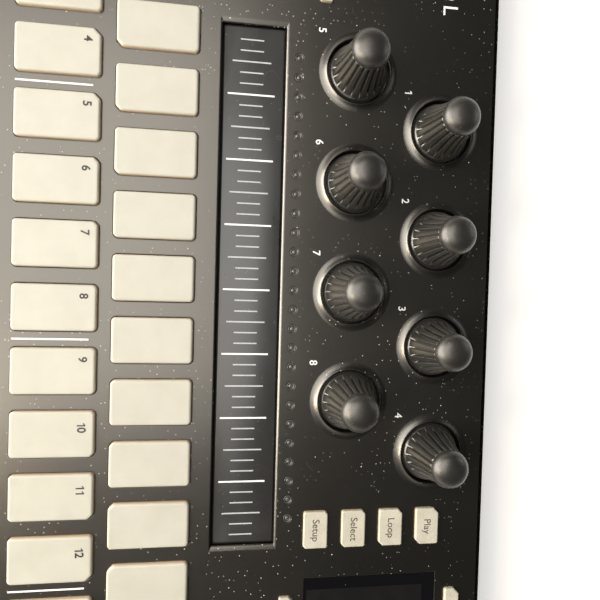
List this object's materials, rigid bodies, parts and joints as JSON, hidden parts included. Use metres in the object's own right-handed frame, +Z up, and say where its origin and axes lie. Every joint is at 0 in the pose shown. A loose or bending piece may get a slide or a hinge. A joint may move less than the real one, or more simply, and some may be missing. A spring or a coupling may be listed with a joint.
{
  "type": "midi keyboard",
  "caption": "Slim desktop pad keyboard with staggered pads, endless knobs, a touch strip with a light row, and a display.",
  "frame": {"origin": "under the middle of the case, on the plane of the rubber feet", "axes": "+X to the player's right, +Y away from the player, +Z up"},
  "size_m": [0.36, 0.179, 0.0403],
  "materials": {
    "case_plastic": "satin black coating with a fine texture",
    "base_plastic": "moulded black plastic with a spark-eroded grain",
    "strip_plastic": "smooth dark grey cover, printed with fine white lines",
    "window_plastic": "polished black display window",
    "light_plastic": "smoked translucent plastic",
    "board_laminate": "green solder mask",
    "foot_rubber": "matte black",
    "screw_steel": "black oxide",
    "pad_silicone": "soft satin cream silicone",
    "button_plastic": "satin cream",
    "knob_rubber": "soft-touch black"
  },
  "bodies": {
    "case": {"top_case": "case_plastic", "bottom_case": "base_plastic", "touch_strip": "strip_plastic", "display_window": "window_plastic", "light_guide": "light_plastic", "circuit_boards": "board_laminate", "rubber_feet": "foot_rubber", "case_screws": "screw_steel"},
    "pad_upper_01": {"pad_upper_01": "pad_silicone"},
    "pad_upper_02": {"pad_upper_02": "pad_silicone"},
    "pad_upper_03": {"pad_upper_03": "pad_silicone"},
    "pad_upper_04": {"pad_upper_04": "pad_silicone"},
    "pad_upper_05": {"pad_upper_05": "pad_silicone"},
    "pad_upper_06": {"pad_upper_06": "pad_silicone"},
    "pad_upper_07": {"pad_upper_07": "pad_silicone"},
    "pad_upper_08": {"pad_upper_08": "pad_silicone"},
    "pad_upper_09": {"pad_upper_09": "pad_silicone"},
    "pad_upper_10": {"pad_upper_10": "pad_silicone"},
    "pad_upper_11": {"pad_upper_11": "pad_silicone"},
    "pad_upper_12": {"pad_upper_12": "pad_silicone"},
    "pad_upper_13": {"pad_upper_13": "pad_silicone"},
    "pad_upper_14": {"pad_upper_14": "pad_silicone"},
    "pad_upper_15": {"pad_upper_15": "pad_silicone"},
    "pad_upper_16": {"pad_upper_16": "pad_silicone"},
    "pad_lower_01": {"pad_lower_01": "pad_silicone"},
    "pad_lower_02": {"pad_lower_02": "pad_silicone"},
    "pad_lower_03": {"pad_lower_03": "pad_silicone"},
    "pad_lower_04": {"pad_lower_04": "pad_silicone"},
    "pad_lower_05": {"pad_lower_05": "pad_silicone"},
    "pad_lower_06": {"pad_lower_06": "pad_silicone"},
    "pad_lower_07": {"pad_lower_07": "pad_silicone"},
    "pad_lower_08": {"pad_lower_08": "pad_silicone"},
    "pad_lower_09": {"pad_lower_09": "pad_silicone"},
    "pad_lower_10": {"pad_lower_10": "pad_silicone"},
    "pad_lower_11": {"pad_lower_11": "pad_silicone"},
    "pad_lower_12": {"pad_lower_12": "pad_silicone"},
    "pad_lower_13": {"pad_lower_13": "pad_silicone"},
    "pad_lower_14": {"pad_lower_14": "pad_silicone"},
    "pad_lower_15": {"pad_lower_15": "pad_silicone"},
    "pad_lower_16": {"pad_lower_16": "pad_silicone"},
    "menu_button": {"menu_button": "button_plastic"},
    "select_button": {"select_button": "button_plastic"},
    "loop_button": {"loop_button": "button_plastic"},
    "play_button": {"play_button": "button_plastic"},
    "soft_button_back_left": {"soft_button_back_left": "button_plastic"},
    "soft_button_back_right": {"soft_button_back_right": "button_plastic"},
    "soft_button_front_left": {"soft_button_front_left": "button_plastic"},
    "soft_button_front_right": {"soft_button_front_right": "button_plastic"},
    "octave_down_button": {"octave_down_button": "button_plastic"},
    "octave_up_button": {"octave_up_button": "button_plastic"},
    "shift_button": {"shift_button": "button_plastic"},
    "knob_1": {"knob_1": "knob_rubber"},
    "knob_2": {"knob_2": "knob_rubber"},
    "knob_3": {"knob_3": "knob_rubber"},
    "knob_4": {"knob_4": "knob_rubber"},
    "knob_5": {"knob_5": "knob_rubber"},
    "knob_6": {"knob_6": "knob_rubber"},
    "knob_7": {"knob_7": "knob_rubber"},
    "knob_8": {"knob_8": "knob_rubber"},
    "data_knob": {"data_knob": "knob_rubber"}
  },
  "joints": [
    {"name": "pad_upper_01_press", "type": "slide", "parent": "case", "child": "pad_upper_01", "axis": [0, 0, -1], "range_m": [0, 0.0006], "stiffness_N_per_m": 2000, "springref_m": -0.0004},
    {"name": "pad_upper_02_press", "type": "slide", "parent": "case", "child": "pad_upper_02", "axis": [0, 0, -1], "range_m": [0, 0.0006], "stiffness_N_per_m": 2000, "springref_m": -0.0004},
    {"name": "pad_upper_03_press", "type": "slide", "parent": "case", "child": "pad_upper_03", "axis": [0, 0, -1], "range_m": [0, 0.0006], "stiffness_N_per_m": 2000, "springref_m": -0.0004},
    {"name": "pad_upper_04_press", "type": "slide", "parent": "case", "child": "pad_upper_04", "axis": [0, 0, -1], "range_m": [0, 0.0006], "stiffness_N_per_m": 2000, "springref_m": -0.0004},
    {"name": "pad_upper_05_press", "type": "slide", "parent": "case", "child": "pad_upper_05", "axis": [0, 0, -1], "range_m": [0, 0.0006], "stiffness_N_per_m": 2000, "springref_m": -0.0004},
    {"name": "pad_upper_06_press", "type": "slide", "parent": "case", "child": "pad_upper_06", "axis": [0, 0, -1], "range_m": [0, 0.0006], "stiffness_N_per_m": 2000, "springref_m": -0.0004},
    {"name": "pad_upper_07_press", "type": "slide", "parent": "case", "child": "pad_upper_07", "axis": [0, 0, -1], "range_m": [0, 0.0006], "stiffness_N_per_m": 2000, "springref_m": -0.0004},
    {"name": "pad_upper_08_press", "type": "slide", "parent": "case", "child": "pad_upper_08", "axis": [0, 0, -1], "range_m": [0, 0.0006], "stiffness_N_per_m": 2000, "springref_m": -0.0004},
    {"name": "pad_upper_09_press", "type": "slide", "parent": "case", "child": "pad_upper_09", "axis": [0, 0, -1], "range_m": [0, 0.0006], "stiffness_N_per_m": 2000, "springref_m": -0.0004},
    {"name": "pad_upper_10_press", "type": "slide", "parent": "case", "child": "pad_upper_10", "axis": [0, 0, -1], "range_m": [0, 0.0006], "stiffness_N_per_m": 2000, "springref_m": -0.0004},
    {"name": "pad_upper_11_press", "type": "slide", "parent": "case", "child": "pad_upper_11", "axis": [0, 0, -1], "range_m": [0, 0.0006], "stiffness_N_per_m": 2000, "springref_m": -0.0004},
    {"name": "pad_upper_12_press", "type": "slide", "parent": "case", "child": "pad_upper_12", "axis": [0, 0, -1], "range_m": [0, 0.0006], "stiffness_N_per_m": 2000, "springref_m": -0.0004},
    {"name": "pad_upper_13_press", "type": "slide", "parent": "case", "child": "pad_upper_13", "axis": [0, 0, -1], "range_m": [0, 0.0006], "stiffness_N_per_m": 2000, "springref_m": -0.0004},
    {"name": "pad_upper_14_press", "type": "slide", "parent": "case", "child": "pad_upper_14", "axis": [0, 0, -1], "range_m": [0, 0.0006], "stiffness_N_per_m": 2000, "springref_m": -0.0004},
    {"name": "pad_upper_15_press", "type": "slide", "parent": "case", "child": "pad_upper_15", "axis": [0, 0, -1], "range_m": [0, 0.0006], "stiffness_N_per_m": 2000, "springref_m": -0.0004},
    {"name": "pad_upper_16_press", "type": "slide", "parent": "case", "child": "pad_upper_16", "axis": [0, 0, -1], "range_m": [0, 0.0006], "stiffness_N_per_m": 2000, "springref_m": -0.0004},
    {"name": "pad_lower_01_press", "type": "slide", "parent": "case", "child": "pad_lower_01", "axis": [0, 0, -1], "range_m": [0, 0.0006], "stiffness_N_per_m": 2000, "springref_m": -0.0004},
    {"name": "pad_lower_02_press", "type": "slide", "parent": "case", "child": "pad_lower_02", "axis": [0, 0, -1], "range_m": [0, 0.0006], "stiffness_N_per_m": 2000, "springref_m": -0.0004},
    {"name": "pad_lower_03_press", "type": "slide", "parent": "case", "child": "pad_lower_03", "axis": [0, 0, -1], "range_m": [0, 0.0006], "stiffness_N_per_m": 2000, "springref_m": -0.0004},
    {"name": "pad_lower_04_press", "type": "slide", "parent": "case", "child": "pad_lower_04", "axis": [0, 0, -1], "range_m": [0, 0.0006], "stiffness_N_per_m": 2000, "springref_m": -0.0004},
    {"name": "pad_lower_05_press", "type": "slide", "parent": "case", "child": "pad_lower_05", "axis": [0, 0, -1], "range_m": [0, 0.0006], "stiffness_N_per_m": 2000, "springref_m": -0.0004},
    {"name": "pad_lower_06_press", "type": "slide", "parent": "case", "child": "pad_lower_06", "axis": [0, 0, -1], "range_m": [0, 0.0006], "stiffness_N_per_m": 2000, "springref_m": -0.0004},
    {"name": "pad_lower_07_press", "type": "slide", "parent": "case", "child": "pad_lower_07", "axis": [0, 0, -1], "range_m": [0, 0.0006], "stiffness_N_per_m": 2000, "springref_m": -0.0004},
    {"name": "pad_lower_08_press", "type": "slide", "parent": "case", "child": "pad_lower_08", "axis": [0, 0, -1], "range_m": [0, 0.0006], "stiffness_N_per_m": 2000, "springref_m": -0.0004},
    {"name": "pad_lower_09_press", "type": "slide", "parent": "case", "child": "pad_lower_09", "axis": [0, 0, -1], "range_m": [0, 0.0006], "stiffness_N_per_m": 2000, "springref_m": -0.0004},
    {"name": "pad_lower_10_press", "type": "slide", "parent": "case", "child": "pad_lower_10", "axis": [0, 0, -1], "range_m": [0, 0.0006], "stiffness_N_per_m": 2000, "springref_m": -0.0004},
    {"name": "pad_lower_11_press", "type": "slide", "parent": "case", "child": "pad_lower_11", "axis": [0, 0, -1], "range_m": [0, 0.0006], "stiffness_N_per_m": 2000, "springref_m": -0.0004},
    {"name": "pad_lower_12_press", "type": "slide", "parent": "case", "child": "pad_lower_12", "axis": [0, 0, -1], "range_m": [0, 0.0006], "stiffness_N_per_m": 2000, "springref_m": -0.0004},
    {"name": "pad_lower_13_press", "type": "slide", "parent": "case", "child": "pad_lower_13", "axis": [0, 0, -1], "range_m": [0, 0.0006], "stiffness_N_per_m": 2000, "springref_m": -0.0004},
    {"name": "pad_lower_14_press", "type": "slide", "parent": "case", "child": "pad_lower_14", "axis": [0, 0, -1], "range_m": [0, 0.0006], "stiffness_N_per_m": 2000, "springref_m": -0.0004},
    {"name": "pad_lower_15_press", "type": "slide", "parent": "case", "child": "pad_lower_15", "axis": [0, 0, -1], "range_m": [0, 0.0006], "stiffness_N_per_m": 2000, "springref_m": -0.0004},
    {"name": "pad_lower_16_press", "type": "slide", "parent": "case", "child": "pad_lower_16", "axis": [0, 0, -1], "range_m": [0, 0.0006], "stiffness_N_per_m": 2000, "springref_m": -0.0004},
    {"name": "menu_button_press", "type": "slide", "parent": "case", "child": "menu_button", "axis": [0, 0, -1], "range_m": [0, 0.0008], "stiffness_N_per_m": 1200, "springref_m": -0.0004},
    {"name": "select_button_press", "type": "slide", "parent": "case", "child": "select_button", "axis": [0, 0, -1], "range_m": [0, 0.0008], "stiffness_N_per_m": 1200, "springref_m": -0.0004},
    {"name": "loop_button_press", "type": "slide", "parent": "case", "child": "loop_button", "axis": [0, 0, -1], "range_m": [0, 0.0008], "stiffness_N_per_m": 1200, "springref_m": -0.0004},
    {"name": "play_button_press", "type": "slide", "parent": "case", "child": "play_button", "axis": [0, 0, -1], "range_m": [0, 0.0008], "stiffness_N_per_m": 1200, "springref_m": -0.0004},
    {"name": "soft_button_back_left_press", "type": "slide", "parent": "case", "child": "soft_button_back_left", "axis": [0, 0, -1], "range_m": [0, 0.0008], "stiffness_N_per_m": 1200, "springref_m": -0.0004},
    {"name": "soft_button_back_right_press", "type": "slide", "parent": "case", "child": "soft_button_back_right", "axis": [0, 0, -1], "range_m": [0, 0.0008], "stiffness_N_per_m": 1200, "springref_m": -0.0004},
    {"name": "soft_button_front_left_press", "type": "slide", "parent": "case", "child": "soft_button_front_left", "axis": [0, 0, -1], "range_m": [0, 0.0008], "stiffness_N_per_m": 1200, "springref_m": -0.0004},
    {"name": "soft_button_front_right_press", "type": "slide", "parent": "case", "child": "soft_button_front_right", "axis": [0, 0, -1], "range_m": [0, 0.0008], "stiffness_N_per_m": 1200, "springref_m": -0.0004},
    {"name": "octave_down_button_press", "type": "slide", "parent": "case", "child": "octave_down_button", "axis": [0, 0, -1], "range_m": [0, 0.0008], "stiffness_N_per_m": 1200, "springref_m": -0.0004},
    {"name": "octave_up_button_press", "type": "slide", "parent": "case", "child": "octave_up_button", "axis": [0, 0, -1], "range_m": [0, 0.0008], "stiffness_N_per_m": 1200, "springref_m": -0.0004},
    {"name": "shift_button_press", "type": "slide", "parent": "case", "child": "shift_button", "axis": [0, 0, -1], "range_m": [0, 0.0008], "stiffness_N_per_m": 1200, "springref_m": -0.0004},
    {"name": "knob_1_turn", "type": "hinge", "parent": "case", "child": "knob_1", "pos_m": [-0.0722, 0.0672, 0.02], "axis": [0, 0, 1], "continuous": true},
    {"name": "knob_2_turn", "type": "hinge", "parent": "case", "child": "knob_2", "pos_m": [-0.033, 0.0672, 0.02], "axis": [0, 0, 1], "continuous": true},
    {"name": "knob_3_turn", "type": "hinge", "parent": "case", "child": "knob_3", "pos_m": [0.0062, 0.0672, 0.02], "axis": [0, 0, 1], "continuous": true},
    {"name": "knob_4_turn", "type": "hinge", "parent": "case", "child": "knob_4", "pos_m": [0.0454, 0.0672, 0.02], "axis": [0, 0, 1], "continuous": true},
    {"name": "knob_5_turn", "type": "hinge", "parent": "case", "child": "knob_5", "pos_m": [-0.0914, 0.0358, 0.02], "axis": [0, 0, 1], "continuous": true},
    {"name": "knob_6_turn", "type": "hinge", "parent": "case", "child": "knob_6", "pos_m": [-0.0522, 0.0358, 0.02], "axis": [0, 0, 1], "continuous": true},
    {"name": "knob_7_turn", "type": "hinge", "parent": "case", "child": "knob_7", "pos_m": [-0.013, 0.0358, 0.02], "axis": [0, 0, 1], "continuous": true},
    {"name": "knob_8_turn", "type": "hinge", "parent": "case", "child": "knob_8", "pos_m": [0.0262, 0.0358, 0.02], "axis": [0, 0, 1], "continuous": true},
    {"name": "data_knob_turn", "type": "hinge", "parent": "case", "child": "data_knob", "pos_m": [0.1625, 0.046, 0.02], "axis": [0, 0, 1], "continuous": true}
  ]
}
